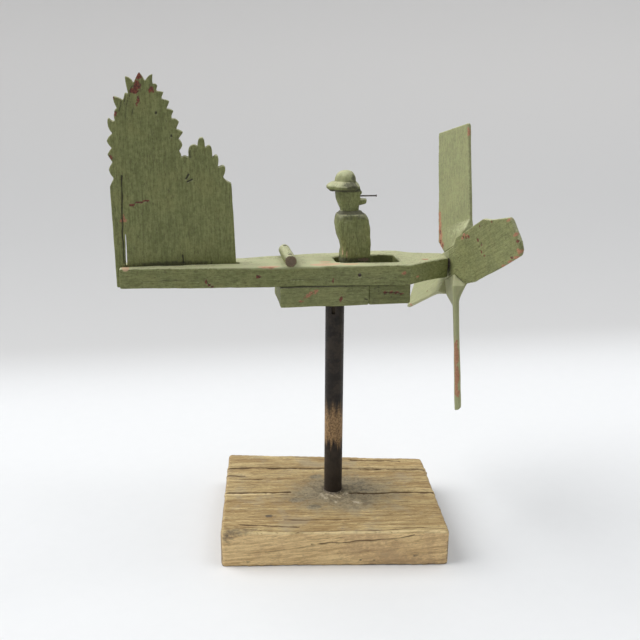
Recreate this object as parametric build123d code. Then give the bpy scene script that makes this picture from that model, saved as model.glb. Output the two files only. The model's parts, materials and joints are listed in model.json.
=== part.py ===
from build123d import *
import math
import os

# A folk-art whirligig on a display stand, in millimetres.
# +X runs from the tail to the propeller, +Z is up, and -Y is the near side.
# The origin is the middle of the swivel, on the underside of the base block.

# Stand
BASE_THICK = 41.3
BASE_CENTRE = (-4.2, -3.4)
BASE_YAW = -6.9
BASE_CORNERS = [(-123.5, -93), (127, -95.5), (123, 84.5), (-128.5, 102)]
BASE_CORNER_RADIUS = 4.0
BASE_EDGE_RADIUS = 1.2
PIPE_OD = 21.3
PIPE_ID = 15.8
PIPE_SOCKET_DEPTH = 32.0
PIPE_TOP = 277.5
PIPE_NOTCH_WIDTH = 4.0
PIPE_NOTCH_DEPTH = 14.0
PIPE_NOTCH_BEARING = -109.0
FILLER_OD = 30.0
FILLER_HEIGHT = 1.4
FILLER_SLOPE = 3.5
PLUG_LENGTH = 60.0
PIN_DIAMETER = 6.35
PIN_BOTTOM = 232.0
PIN_TOP = 298.5
RUNNING_GAP = 0.06
SWIVEL_WASHER_OD = 19.0
SWIVEL_WASHER_THICK = 1.1
SWIVEL_WASHER_SPARE = 0.24

# Block and deck plank
BLOCK_BOTTOM = 278.9
BLOCK_THICK = 22.7
BLOCK_HALF_WIDTH = 31.2
BLOCK_REAR = -64.7
BLOCK_JOINT = 32.2
BLOCK_JOINT_GAP = 0.4
BLOCK_FRONT = 78.6
BLOCK_CHAMFER = 0.8
BLOCK_NAIL = (38, 2.4, 5.5, 1.2)
BLOCK_NAIL_SPOTS = [(-50, -18), (-50, 18), (12, -26.5), (12, 27), (46, -26.5), (60, 27)]
DECK_THICK = 22.3
DECK_BOTTOM = BLOCK_BOTTOM + BLOCK_THICK
DECK_TOP = DECK_BOTTOM + DECK_THICK
TAIL_X = -232.5
NOSE_X = 127.5
DECK_NEAR_EDGE = [
    (TAIL_X, -15.8),
    (-100, -27.5),
    (-60, -30.5),
    (0, -31.5),
    (40, -35.5),
    (76, -38.5),
    (104, -18.5),
    (NOSE_X, -8),
]
DECK_FAR_EDGE = [
    (NOSE_X, 15),
    (99, 27),
    (78, 40.5),
    (42, 42.5),
    (5, 38.5),
    (-35, 35),
    (-62, 28.5),
    (-100, 22.5),
    (TAIL_X, 13.5),
]
COCKPIT = [
    (-0.5, -13),
    (5, -18),
    (43, -20),
    (62, -24),
    (70, -17),
    (70, 18),
    (50, 22.5),
    (6, 20),
    (-0.5, 12),
]
COCKPIT_CORNER_RADIUS = 3.0

# Tail fin: heights are above the deck, lengths forward of the fin's rear edge
FIN_THICK = 10.5
FIN_NEAR_Y = -7.5
FIN_REAR_X = -236.2
FIN_SLOT_DEPTH = 5.0
FIN_FOOT_FRONT = 126.5
FIN_SLOT_SPARE = 3.5
FIN_LAP_THICK = 3.4
FIN_REAR_SHOULDER = (-0.8, 84)
FIN_FRONT_SHOULDER = [(114.8, 92.5), (117.9, 88.7), (123.4, 85.8)]
# Leaves of the two trees, from the rear shoulder over to the front one:
# each is a notch, a point on the way up, the leaf's tip and a point on the way down
REAR_LEAVES = [
    [(3.8, 92.5), (0.9, 97.0), (-0.5, 101.7), (1.4, 105.4)],
    [(3.9, 108.7), (1.2, 113.2), (-0.5, 116.7), (1.5, 119.8)],
    [(4.1, 123.1), (1.0, 126.8), (-0.5, 130.1), (1.8, 134.0)],
    [(5.6, 137.4), (1.7, 144.2), (1.8, 153.0), (5.0, 149.6)],
    [(8.8, 149.7), (8.1, 156.0), (9.9, 161.3), (11.2, 160.6)],
    [(12.1, 160.4), (8.8, 168.5), (8.0, 173.6), (13.4, 172.0)],
    [(17.9, 169.2), (19.0, 173.0), (20.4, 177.2), (22.3, 175.8)],
    [(24.0, 173.5), (21.8, 186.0), (21.4, 192.8), (26.8, 189.8)],
]
CROWN_LEAVES = [
    [(28.8, 184.0), (31.2, 191.6), (34.7, 197.3), (38.0, 192.6)],
    [(40.0, 188.0), (43.6, 193.0), (48.0, 195.2), (47.2, 190.2)],
    [(47.4, 185.2), (50.0, 186.1), (52.0, 184.2), (51.4, 181.6)],
]
FRONT_LEAVES = [
    [(50.0, 178.6), (54.2, 178.6), (57.8, 177.8), (56.2, 174.0)],
    [(54.8, 170.8), (59.6, 170.5), (63.2, 168.8), (61.4, 164.8)],
    [(59.5, 161.3), (63.4, 161.1), (66.8, 159.1), (64.8, 155.4)],
    [(64.4, 151.5), (68.6, 151.4), (71.9, 148.4), (70.4, 145.2)],
    [(68.6, 141.3), (72.6, 140.2), (75.6, 138.0), (73.4, 135.4)],
    [(70.3, 131.2), (72.9, 129.2), (74.2, 125.2), (72.8, 122.2)],
    [(70.5, 119.7), (71.7, 117.4), (72.4, 115.2), (72.6, 113.8)],
]
SMALL_TREE_LEAVES = [
    [(73.2, 112.4), (74.8, 114.2), (77.0, 114.6), (79.0, 113.4)],
    [(80.6, 112.6), (81.0, 122.2), (86.0, 125.9), (89.2, 124.4)],
    [(90.2, 121.0), (91.0, 130.4), (93.8, 132.9), (96.4, 130.8)],
    [(96.8, 118.4), (98.6, 123.2), (101.6, 125.1), (104.0, 121.0)],
    [(103.9, 109.2), (105.9, 113.6), (108.7, 115.3), (110.6, 111.2)],
    [(109.5, 101.4), (112.0, 103.2), (115.8, 104.4), (117.6, 100.0)],
]
# Fin nails; each kind of nail is its length, shank, head across and head thickness
FIN_NAIL_X = (-200, -135)
FIN_NAIL = (44, 2.2, 5.0, 1.1)
LAP_NAIL = (25, 1.6, 3.6, 0.8)
LAP_NAIL_DROP = 13.0
LAP_NAIL_PROUD = 0.4
SPLIT_FOOT = (9.2, 12.0)
SPLIT_TOP = (13.6, 98.0)

# Dowel across the deck
DOWEL_DIAMETER = 12.6
DOWEL_LENGTH = 66.0
DOWEL_X = -53.3
DOWEL_SEAT = 0.4
DOWEL_NAIL_Y = (-24, 25)
DOWEL_NAIL = (27, 1.8, 3.8, 0.9)
DOWEL_NAIL_PROUD = 0.3

# Pilot: heights are above the deck unless the name says otherwise
PIVOT_X = 21.2
PIVOT_DEPTH = 11.0
PILOT_Y = 1.0
PILOT_LEAN = 8.0
# Torso sections as (height, middle in x, half length), each a rounded oblong a little narrower across
TORSO_SECTIONS = [
    (-3.0, 21.5, 16.5),
    (5.0, 22.0, 16.1),
    (16.0, 22.3, 16.4),
    (26.0, 20.2, 17.6),
    (36.0, 18.4, 18.2),
    (44.0, 18.1, 17.7),
    (50.0, 17.2, 15.6),
    (54.0, 16.6, 11.2),
]
TORSO_WIDTH = 0.86
TORSO_CORNER = 0.55
FOOT_HALF_LENGTH = 14.0
FOOT_WIDTH = 24.0
# The foot below the torso, as heights from its nail
FOOT_BOTTOM = -9.1
FOOT_TOP = 11.0
# Head sections as (height, middle in x, half length), each an oval
HEAD_SECTIONS = [
    (51.0, 15.4, 9.3),
    (56.0, 15.2, 9.7),
    (60.5, 14.4, 11.2),
    (66.0, 13.3, 13.2),
    (71.5, 13.1, 14.1),
    (79.0, 12.7, 13.6),
]
HEAD_WIDTH = 0.88
BROW = (6.0, 11.0, 4.4)
BROW_AT = (24.8, 73.8)
CHIN_ROOT = (23.0, 64.0)
CHIN_TIP = (33.8, 63.1)
CHIN_ROOT_RADIUS = 4.2
CHIN_TIP_RADIUS = 3.0
BRIM_X = 8.1
BRIM_PROFILE = [(12.5, 76.6), (17.0, 77.4), (18.2, 79.8), (16.4, 82.8), (11.0, 85.6)]
CROWN_X = 10.4
CROWN_RADIUS = 11.8
CROWN_SPRING = 84.0
CROWN_TOP = 98.0
MOUTH_Z = 69.6
MOUTH_NAIL_DIAMETER = 1.6
MOUTH_NAIL_HEAD = (2.4, 0.7)
MOUTH_NAIL_TIP = 45.2
MOUTH_NAIL_ROOT = 14.0
PILOT_NAIL_DIAMETER = 2.8
PILOT_NAIL_HEAD = (4.6, 1.2)
PILOT_NAIL_NEAR_Y = -31.6
PILOT_NAIL_LENGTH = 68.0

# Propeller, in its own frame: u along the axle, r outwards, c across a blade
HUB = (140.3, 0.0, 315.4)
AXLE_DROOP = 4.0
AXLE_DIAMETER = 4.0
AXLE_REAR = -56.0
AXLE_HEAD = 14.0
AXLE_WASHER_OD = 11.0
HUB_HALF = 16.0
HUB_REAR = -9.7
HUB_LAP = 1.3
HUB_FRONT = 12.3
HUB_BRAD = (20, 1.7, 3.6, 0.9)
HUB_BRAD_PROUD = 0.4
HUB_BRAD_SPOTS = [(9, 8), (-9, -8)]
FLARE_MIDDLE = 31.0
FLARE_MIDDLE_THICK = 14.0
FLARE_MIDDLE_TURN = 0.6
FLARE_END = 45.0
BLADE_PITCH = 18.8
BLADE_THICK = 6.3
FIRST_BLADE_ANGLE = -24.0
# Each blade's outline beyond the flare as (r, c) points
BLADE_OUTLINES = {
    "up": [(FLARE_END, -29.5), (162.5, -26), (156.5, 29), (FLARE_END, 27.8)],
    "near": [
        (FLARE_END, -24.5),
        (109, -24.5),
        (123.5, -19.5),
        (145, -14.8),
        (163.5, -11),
        (165, 14.5),
        (162, 23),
        (157.5, 26.3),
        (112, 27.8),
        (FLARE_END, 28.4),
    ],
    "down": [(FLARE_END, -28), (166, -27), (165, 27), (FLARE_END, 28)],
    "far": [(FLARE_END, -29.5), (165, -27), (170, 26), (FLARE_END, 28)],
}
BLADE_BEVEL = 2.8
FLARE_MIDDLE_BEVEL = 1.6
HUB_BEVEL = 0.5
# How far each blade is set forward of the hub's middle
BLADE_SHIFT = {"up": 0.0, "near": 0.0, "down": -2.0, "far": 0.0}
BLADE_ORDER = ["up", "near", "down", "far"]

PIVOT = (PIVOT_X, PILOT_Y, DECK_TOP - PIVOT_DEPTH)


def polygon_plate(points, low, high):
    """A plate with the given outline in plan, between two heights."""
    face = make_face(Polyline(*points, close=True))
    return Pos(0, 0, low) * extrude(face, high - low, dir=(0, 0, 1))


def turned(profile, axis_at):
    """A solid of revolution about a vertical axis, from (radius, height) points with its ends closed."""
    low, high = profile[0][1], profile[-1][1]
    side = Spline(*[(r, 0, z) for r, z in profile])
    edges = [side, Line((profile[-1][0], 0, high), (0, 0, high)), Line((0, 0, high), (0, 0, low))]
    edges.append(Line((0, 0, low), (profile[0][0], 0, low)))
    return Pos(*axis_at) * revolve(make_face(edges), Axis.Z)


def rod(start, end, diameter):
    """A round bar between two points."""
    start, end = Vector(*start), Vector(*end)
    plane = Plane(origin=start, z_dir=end - start)
    return extrude(plane * Circle(diameter / 2), (end - start).length)


def nail(start, direction, length, diameter, head_diameter, head_thick):
    """A nail whose head's outer face is at start and whose shank runs along direction."""
    start, direction = Vector(*start), Vector(*direction).normalized()
    head = rod(start, start + direction * head_thick, head_diameter)
    return head + rod(start, start + direction * length, diameter)


def drilled(solid, cutters):
    for cutter in cutters:
        solid = solid - cutter
    return solid


def in_hub_frame(shape):
    return Pos(*HUB) * Rot(0, AXLE_DROOP, 0) * shape


def base_block():
    block = polygon_plate(BASE_CORNERS, 0, BASE_THICK)
    block = fillet(block.edges().filter_by(Axis.Z), BASE_CORNER_RADIUS)
    block = fillet(block.faces().sort_by(Axis.Z)[-1].edges(), BASE_EDGE_RADIUS)
    block = Pos(*BASE_CENTRE, 0) * Rot(0, 0, BASE_YAW) * block
    return block - rod((0, 0, BASE_THICK - PIPE_SOCKET_DEPTH), (0, 0, BASE_THICK + 1), PIPE_OD)


def stand_pipe():
    low = BASE_THICK - PIPE_SOCKET_DEPTH
    pipe = rod((0, 0, low), (0, 0, PIPE_TOP), PIPE_OD) - rod((0, 0, low - 1), (0, 0, PIPE_TOP + 1), PIPE_ID)
    notch = Pos(PIPE_OD / 2, 0, PIPE_TOP) * Box(PIPE_OD / 2, PIPE_NOTCH_WIDTH, 2 * PIPE_NOTCH_DEPTH)
    return pipe - Rot(0, 0, PIPE_NOTCH_BEARING) * notch


def foot_filler():
    radius = FILLER_OD / 2
    cone = Cone(radius, radius - FILLER_SLOPE, FILLER_HEIGHT, align=(Align.CENTER, Align.CENTER, Align.MIN))
    return Pos(0, 0, BASE_THICK) * cone - rod((0, 0, BASE_THICK - 1), (0, 0, BASE_THICK + 9), PIPE_OD)


def pipe_plug():
    plug = rod((0, 0, PIPE_TOP - 0.5 - PLUG_LENGTH), (0, 0, PIPE_TOP - 0.5), PIPE_ID)
    return plug - rod((0, 0, PIN_BOTTOM), (0, 0, PIPE_TOP), PIN_DIAMETER)


def pivot_pin():
    pin = rod((0, 0, PIN_BOTTOM), (0, 0, PIN_TOP), PIN_DIAMETER)
    return chamfer(pin.edges().group_by(Axis.Z)[-1], 0.8)


def pivot_washer():
    top = PIPE_TOP + SWIVEL_WASHER_THICK
    disc = rod((0, 0, PIPE_TOP), (0, 0, top), SWIVEL_WASHER_OD)
    return disc - rod((0, 0, PIPE_TOP - 1), (0, 0, top + 1), PIN_DIAMETER + SWIVEL_WASHER_SPARE)


def block_nail_list():
    return [nail((x, y, BLOCK_BOTTOM), (0, 0, 1), *BLOCK_NAIL) for x, y in BLOCK_NAIL_SPOTS]


def block_piece(rear, front):
    piece = Pos((rear + front) / 2, 0, BLOCK_BOTTOM + BLOCK_THICK / 2)
    piece = piece * Box(front - rear, 2 * BLOCK_HALF_WIDTH, BLOCK_THICK)
    piece = chamfer(piece.faces().sort_by(Axis.Z)[0].edges(), BLOCK_CHAMFER)
    socket = rod((0, 0, BLOCK_BOTTOM - 1), (0, 0, PIN_TOP + 1), PIN_DIAMETER + 2 * RUNNING_GAP)
    return drilled(piece, [socket] + block_nail_list())


def curve_through(start, middle, end, steps=4):
    """Points on a gentle curve from start up to, but not including, end."""
    points = []
    for step in range(steps):
        t = step / steps
        weights = ((1 - t) * (1 - 2 * t), 4 * t * (1 - t), t * (2 * t - 1))
        points.append(tuple(sum(w * p[i] for w, p in zip(weights, (start, middle, end))) for i in (0, 1)))
    return points


def tail_fin_outline():
    """The fin's outline in (x, z), from its rear lap round over both trees to the front foot."""
    points = [(0, -DECK_THICK), FIN_REAR_SHOULDER]
    leaves = REAR_LEAVES + CROWN_LEAVES + FRONT_LEAVES + SMALL_TREE_LEAVES + [FIN_FRONT_SHOULDER]
    for (notch, rising, tip, falling), following in zip(leaves, leaves[1:]):
        points += curve_through(notch, rising, tip)
        points += curve_through(tip, falling, following[0])
    points += FIN_FRONT_SHOULDER
    points += [(FIN_FOOT_FRONT, 0), (FIN_FOOT_FRONT, -FIN_SLOT_DEPTH)]
    points += [(FIN_LAP_THICK, -FIN_SLOT_DEPTH), (FIN_LAP_THICK, -DECK_THICK)]
    return points


def fin_plate(outline, near, far):
    """A plate standing along X, with its outline given from the fin's rear edge and the deck's top."""
    face = make_face(Polyline(*[(FIN_REAR_X + x, near, DECK_TOP + z) for x, z in outline], close=True))
    return extrude(face, far - near, dir=(0, 1, 0))


def fin_nail_list():
    middle = FIN_NEAR_Y + FIN_THICK / 2
    nails = [nail((x, middle, DECK_BOTTOM), (0, 0, 1), *FIN_NAIL) for x in FIN_NAIL_X]
    lap_head = (FIN_REAR_X - LAP_NAIL_PROUD, middle, DECK_TOP - LAP_NAIL_DROP)
    nails.append(nail(lap_head, (1, 0, 0), *LAP_NAIL))
    return nails


def tail_fin():
    fin = fin_plate(tail_fin_outline(), FIN_NEAR_Y, FIN_NEAR_Y + FIN_THICK)
    split = [(SPLIT_FOOT[0], -FIN_SLOT_DEPTH - 1), (SPLIT_FOOT[1], -FIN_SLOT_DEPTH - 1), SPLIT_TOP]
    split = fin_plate(split, FIN_NEAR_Y - 1, FIN_NEAR_Y + FIN_THICK + 1)
    return drilled(fin, [split] + fin_nail_list())


def cross_dowel_bar():
    middle = DECK_TOP - DOWEL_SEAT + DOWEL_DIAMETER / 2
    bar = rod((DOWEL_X, -DOWEL_LENGTH / 2, middle), (DOWEL_X, DOWEL_LENGTH / 2, middle), DOWEL_DIAMETER)
    return chamfer(bar.edges().filter_by(GeomType.CIRCLE), 1.0)


def dowel_nail_list():
    top = DECK_TOP - DOWEL_SEAT + DOWEL_DIAMETER + DOWEL_NAIL_PROUD
    return [nail((DOWEL_X, y, top), (0, 0, -1), *DOWEL_NAIL) for y in DOWEL_NAIL_Y]


def cross_dowel():
    deck_surface = Pos(DOWEL_X, 0, DECK_TOP - 5) * Box(40, 90, 10)
    return drilled(cross_dowel_bar(), [deck_surface] + dowel_nail_list())


def pilot_cross_nail():
    head = (PIVOT[0], PILOT_NAIL_NEAR_Y, PIVOT[2])
    return nail(head, (0, 1, 0), PILOT_NAIL_LENGTH, PILOT_NAIL_DIAMETER, *PILOT_NAIL_HEAD)


def propeller_axle():
    shank = rod((AXLE_REAR, 0, 0), (AXLE_HEAD + 1.8, 0, 0), AXLE_DIAMETER)
    head = rod((AXLE_HEAD, 0, 0), (AXLE_HEAD + 1.8, 0, 0), 9.0)
    return in_hub_frame(shank + head)


def axle_washer(rear, front):
    disc = rod((rear, 0, 0), (front, 0, 0), AXLE_WASHER_OD)
    return in_hub_frame(disc - rod((rear - 1, 0, 0), (front + 1, 0, 0), AXLE_DIAMETER + 2 * RUNNING_GAP))


def deck_plank():
    plank = polygon_plate(DECK_NEAR_EDGE + DECK_FAR_EDGE, DECK_BOTTOM, DECK_TOP)
    bends = [e for e in plank.edges().filter_by(Axis.Z) if TAIL_X + 1 < e.center().X < NOSE_X - 1]
    plank = fillet(bends, 6.0)
    plank = chamfer(plank.faces().sort_by(Axis.X)[-1].edges(), 1.5)
    cockpit = polygon_plate(COCKPIT, DECK_BOTTOM - 1, DECK_TOP + 1)
    cockpit = fillet(cockpit.edges().filter_by(Axis.Z), COCKPIT_CORNER_RADIUS)
    slot_front = FIN_REAR_X + FIN_FOOT_FRONT + FIN_SLOT_SPARE
    slot = Pos((TAIL_X + slot_front) / 2, FIN_NEAR_Y + FIN_THICK / 2, DECK_TOP)
    slot = slot * Box(slot_front - TAIL_X + 0.001, FIN_THICK, 2 * FIN_SLOT_DEPTH)
    nail_head = (PIVOT_X, PILOT_NAIL_NEAR_Y, PIVOT[2])
    sunk_head = rod((PIVOT_X, PILOT_NAIL_NEAR_Y - 14, PIVOT[2]), nail_head, PILOT_NAIL_HEAD[0])
    cutters = [cockpit, slot, sunk_head, pilot_cross_nail(), propeller_axle()]
    return drilled(plank, cutters + block_nail_list() + fin_nail_list() + dowel_nail_list())


def mouth_nail():
    tip = (MOUTH_NAIL_TIP, PILOT_Y, DECK_TOP + MOUTH_Z)
    return nail(tip, (-1, 0, 0), MOUTH_NAIL_TIP - MOUTH_NAIL_ROOT, MOUTH_NAIL_DIAMETER, *MOUTH_NAIL_HEAD)


def pilot_hat():
    brim = turned(BRIM_PROFILE, (BRIM_X, PILOT_Y, DECK_TOP))
    rise = CROWN_TOP - CROWN_SPRING
    turns = [math.radians(a) for a in (0, 20, 40, 60, 80)]
    dome = [(CROWN_RADIUS * math.cos(a), CROWN_SPRING + rise * math.sin(a)) for a in turns]
    crown = turned([(CROWN_RADIUS, BRIM_PROFILE[0][1] + 1)] + dome, (CROWN_X, PILOT_Y, DECK_TOP))
    return brim + crown


def pilot_torso():
    faces = []
    for z, x, half in TORSO_SECTIONS:
        across = 2 * half * TORSO_WIDTH
        oblong = RectangleRounded(2 * half, across, TORSO_CORNER * across / 2)
        faces.append(Pos(x, PILOT_Y, DECK_TOP + z) * oblong)
    return loft(faces)


def pilot_head():
    ovals = []
    for z, x, half in HEAD_SECTIONS:
        ovals.append(Pos(x, PILOT_Y, DECK_TOP + z) * Ellipse(half, HEAD_WIDTH * half))
    brow = fillet(Box(*BROW).edges(), 1.5)
    brow = Pos(BROW_AT[0], PILOT_Y, DECK_TOP + BROW_AT[1]) * brow
    root = Vector(CHIN_ROOT[0], PILOT_Y, DECK_TOP + CHIN_ROOT[1])
    tip = Vector(CHIN_TIP[0], PILOT_Y, DECK_TOP + CHIN_TIP[1])
    along = tip - root
    chin = Cone(CHIN_ROOT_RADIUS, CHIN_TIP_RADIUS, along.length)
    chin = Plane(origin=root + along / 2, z_dir=along) * chin
    chin = fillet(chin.faces().sort_by(Axis.X)[-1].edges(), 2.0)
    return loft(ovals) + brow + chin


def pilot_figure():
    foot = Box(2 * FOOT_HALF_LENGTH, FOOT_WIDTH, FOOT_TOP - FOOT_BOTTOM)
    foot = Pos(0, 0, (FOOT_TOP + FOOT_BOTTOM) / 2) * foot
    foot = Pos(*PIVOT) * Rot(0, -PILOT_LEAN, 0) * foot
    figure = pilot_torso() + foot + pilot_head() + pilot_hat()
    x, y, z = PIVOT
    reach = FOOT_WIDTH
    bore = rod((x, y - reach, z), (x, y + reach, z), PILOT_NAIL_DIAMETER + 2 * RUNNING_GAP)
    return drilled(figure, [bore, mouth_nail()])


def flare_section(r, span, thick, bevel, turn, shift):
    """A section across a blade's root: an oblong with its two forward edges bevelled."""
    low, high = span
    rear, front = shift - thick / 2, shift + thick / 2
    outline = [(rear, -low), (rear, -high), (front - bevel, -high)]
    outline += [(front, -high + bevel), (front, -low - bevel), (front - bevel, -low)]
    face = make_face(Polyline(*[(x, y, r) for x, y in outline], close=True))
    return Rot(0, 0, turn) * face


def blade_and_flare(name):
    """One blade with its carved flare, standing along +Z from the hub's side."""
    outline, shift = BLADE_OUTLINES[name], BLADE_SHIFT[name]
    plate = [(shift, -c, r) for r, c in outline]
    blade = extrude(make_face(Polyline(*plate, close=True)), BLADE_THICK / 2, both=True, dir=(1, 0, 0))
    front_edges = blade.faces().sort_by(Axis.X)[-1].edges()
    blade = chamfer([edge for edge in front_edges if edge.center().Z > FLARE_END + 0.1], BLADE_BEVEL)
    span = (outline[0][1], outline[-1][1])
    hub_depth, hub_middle = HUB_FRONT - HUB_REAR, (HUB_REAR + HUB_FRONT) / 2
    middle_turn = FLARE_MIDDLE_TURN * BLADE_PITCH
    sections = [
        flare_section(HUB_HALF, (-HUB_HALF, HUB_HALF), hub_depth, HUB_BEVEL, 0, hub_middle),
        flare_section(FLARE_MIDDLE, span, FLARE_MIDDLE_THICK, FLARE_MIDDLE_BEVEL, middle_turn, shift),
        flare_section(FLARE_END, span, BLADE_THICK, BLADE_BEVEL, BLADE_PITCH, shift),
    ]
    return loft(sections, ruled=True) + Rot(0, 0, BLADE_PITCH) * blade


def hub_brad_list():
    start = HUB_FRONT + HUB_BRAD_PROUD
    return [nail((start, y, z), (-1, 0, 0), *HUB_BRAD) for y, z in HUB_BRAD_SPOTS]


def propeller_bar(first, rear, front):
    """A bar with two opposite blades; rear and front bound its half of the lapped hub."""
    centre = Pos((rear + front) / 2, 0, 0) * Box(front - rear, 2 * HUB_HALF, 2 * HUB_HALF)
    bar = Rot(FIRST_BLADE_ANGLE, 0, 0) * centre
    for index in (first, first + 2):
        blade = blade_and_flare(BLADE_ORDER[index])
        bar = bar + Rot(FIRST_BLADE_ANGLE + 90 * index, 0, 0) * blade
    bore = rod((-30, 0, 0), (30, 0, 0), AXLE_DIAMETER + 2 * RUNNING_GAP)
    return in_hub_frame(drilled(bar, [bore] + hub_brad_list()))


def group(solids):
    return Compound(children=list(solids))


def build():
    rear_end, front_start = BLOCK_JOINT - BLOCK_JOINT_GAP / 2, BLOCK_JOINT + BLOCK_JOINT_GAP / 2
    return {
        "base_block": base_block(),
        "stand_pipe": stand_pipe(),
        "foot_filler": foot_filler(),
        "pipe_plug": pipe_plug(),
        "pivot_pin": pivot_pin(),
        "pivot_washer": pivot_washer(),
        "pivot_block": block_piece(BLOCK_REAR, rear_end),
        "front_block": block_piece(front_start, BLOCK_FRONT),
        "block_nails": group(block_nail_list()),
        "deck_plank": deck_plank(),
        "tail_fin": tail_fin(),
        "fin_nails": group(fin_nail_list()),
        "cross_dowel": cross_dowel(),
        "dowel_nails": group(dowel_nail_list()),
        "pilot_figure": pilot_figure(),
        "mouth_nail": mouth_nail(),
        "pilot_cross_nail": pilot_cross_nail(),
        "propeller_bar_rear": propeller_bar(1, HUB_REAR, HUB_LAP),
        "propeller_bar_front": propeller_bar(0, HUB_LAP, HUB_FRONT),
        "propeller_axle": propeller_axle(),
        "nose_washer": axle_washer(-11.6, -10.0),
        "front_washer": axle_washer(HUB_FRONT, HUB_FRONT + 1.3),
        "hub_brads": group(in_hub_frame(brad) for brad in hub_brad_list()),
    }


os.makedirs("parts", exist_ok=True)
for name, shape in build().items():
    export_step(shape, f"parts/{name}.step")
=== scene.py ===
import json
import math
import bmesh
import bpy
import numpy as np
from mathutils import Matrix, Vector


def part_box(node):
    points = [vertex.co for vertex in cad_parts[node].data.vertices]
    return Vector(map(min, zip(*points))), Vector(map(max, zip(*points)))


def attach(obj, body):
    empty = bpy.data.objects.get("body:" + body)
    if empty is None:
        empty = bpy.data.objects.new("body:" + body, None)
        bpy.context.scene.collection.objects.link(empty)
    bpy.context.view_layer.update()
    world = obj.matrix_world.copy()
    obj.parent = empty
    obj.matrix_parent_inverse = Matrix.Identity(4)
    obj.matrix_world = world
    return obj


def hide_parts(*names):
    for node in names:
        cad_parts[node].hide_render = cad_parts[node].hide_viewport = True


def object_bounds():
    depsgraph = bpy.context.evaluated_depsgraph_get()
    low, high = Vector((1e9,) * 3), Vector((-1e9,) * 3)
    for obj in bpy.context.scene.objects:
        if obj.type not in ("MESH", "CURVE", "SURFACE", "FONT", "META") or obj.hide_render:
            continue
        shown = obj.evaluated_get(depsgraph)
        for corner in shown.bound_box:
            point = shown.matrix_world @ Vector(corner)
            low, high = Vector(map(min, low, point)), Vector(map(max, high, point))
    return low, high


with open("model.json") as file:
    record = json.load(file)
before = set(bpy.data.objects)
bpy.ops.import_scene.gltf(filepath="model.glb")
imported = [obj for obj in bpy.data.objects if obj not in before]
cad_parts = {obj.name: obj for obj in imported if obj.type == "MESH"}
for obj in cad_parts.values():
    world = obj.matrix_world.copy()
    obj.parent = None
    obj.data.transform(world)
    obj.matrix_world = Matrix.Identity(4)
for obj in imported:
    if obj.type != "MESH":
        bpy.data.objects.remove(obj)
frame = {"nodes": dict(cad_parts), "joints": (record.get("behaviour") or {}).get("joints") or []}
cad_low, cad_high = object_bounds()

# The frame's own axes: +X to the propeller, +Z up, -Y towards the near side. Points in space are in metres,
# and the reach of a mark, such as a chip or a crack, is in millimetres.
MM = 0.001

# ---------------------------------------------------------------- places read from the frame
DECK_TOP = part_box("deck_plank")[1].z
BASE_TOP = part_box("base_block")[1].z
FIN_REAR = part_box("tail_fin")[0].x
PROPELLER = next(j for j in frame["joints"] if j["name"] == "propeller_spin")
HUB = np.array(PROPELLER["pos_m"])
AXLE = np.array(PROPELLER["axis"])

# ---------------------------------------------------------------- the CAD model's angles, in degrees
BASE_YAW = -6.9
BLADE_START = -24.0
BLADE_PITCH = 18.8

# the base's middle in metres, and how far a blade's visible face lies behind its middle in mm
BASE_MIDDLE = (-0.0042, -0.0034, 0.0)
BLADE_REAR_FACE = -3.0


# ---------------------------------------------------------------- noise and mesh tools
def lattice(cell, seed):
    """A repeatable random value from -1 to 1 for each whole-number cell."""
    c = cell.astype(np.int64).astype(np.uint32)
    h = c[:, 0] * np.uint32(73856093) ^ c[:, 1] * np.uint32(19349663) ^ c[:, 2] * np.uint32(83492791)
    h = h ^ np.uint32(seed * 7919 + 17)
    h = (h ^ (h >> np.uint32(13))) * np.uint32(1274126177)
    h = (h ^ (h >> np.uint32(15))) * np.uint32(2246822519)
    return (h ^ (h >> np.uint32(16))).astype(np.float64) / 2147483648.0 - 1.0


def noise(points, size, seed=0):
    """Smooth noise from -1 to 1; size is the length of its features, one number or one for each axis."""
    p = points / np.asarray(size, float)
    cell = np.floor(p)
    t = p - cell
    t = t * t * (3 - 2 * t)
    total = np.zeros(len(p))
    for corner in range(8):
        step = np.array([corner & 1, corner >> 1 & 1, corner >> 2 & 1])
        weight = np.prod(np.where(step, t, 1 - t), axis=1)
        total += weight * lattice(cell + step, seed)
    return total


def smoothstep(low, high, x):
    t = np.clip((x - low) / (high - low), 0, 1)
    return t * t * (3 - 2 * t)


def coords(mesh):
    co = np.empty(len(mesh.vertices) * 3)
    mesh.vertices.foreach_get("co", co)
    return co.reshape(-1, 3)


def set_coords(mesh, co):
    mesh.vertices.foreach_set("co", co.ravel())
    mesh.update()


def normals(mesh):
    n = np.empty(len(mesh.vertices) * 3)
    mesh.vertex_normals.foreach_get("vector", n)
    return n.reshape(-1, 3)


def edge_ends(mesh):
    ends = np.empty(len(mesh.edges) * 2, np.int64)
    mesh.edges.foreach_get("vertices", ends)
    return ends.reshape(-1, 2)


def spread(values, ends, times):
    """Averages values with their neighbours' along the mesh's edges."""
    count = np.bincount(ends.ravel(), minlength=len(values)).astype(float)
    shape = (-1,) + (1,) * (values.ndim - 1)
    for _ in range(times):
        total = np.zeros_like(values)
        np.add.at(total, ends[:, 0], values[ends[:, 1]])
        np.add.at(total, ends[:, 1], values[ends[:, 0]])
        values = 0.5 * values + 0.5 * total / np.maximum(count, 1).reshape(shape)
    return values


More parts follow.
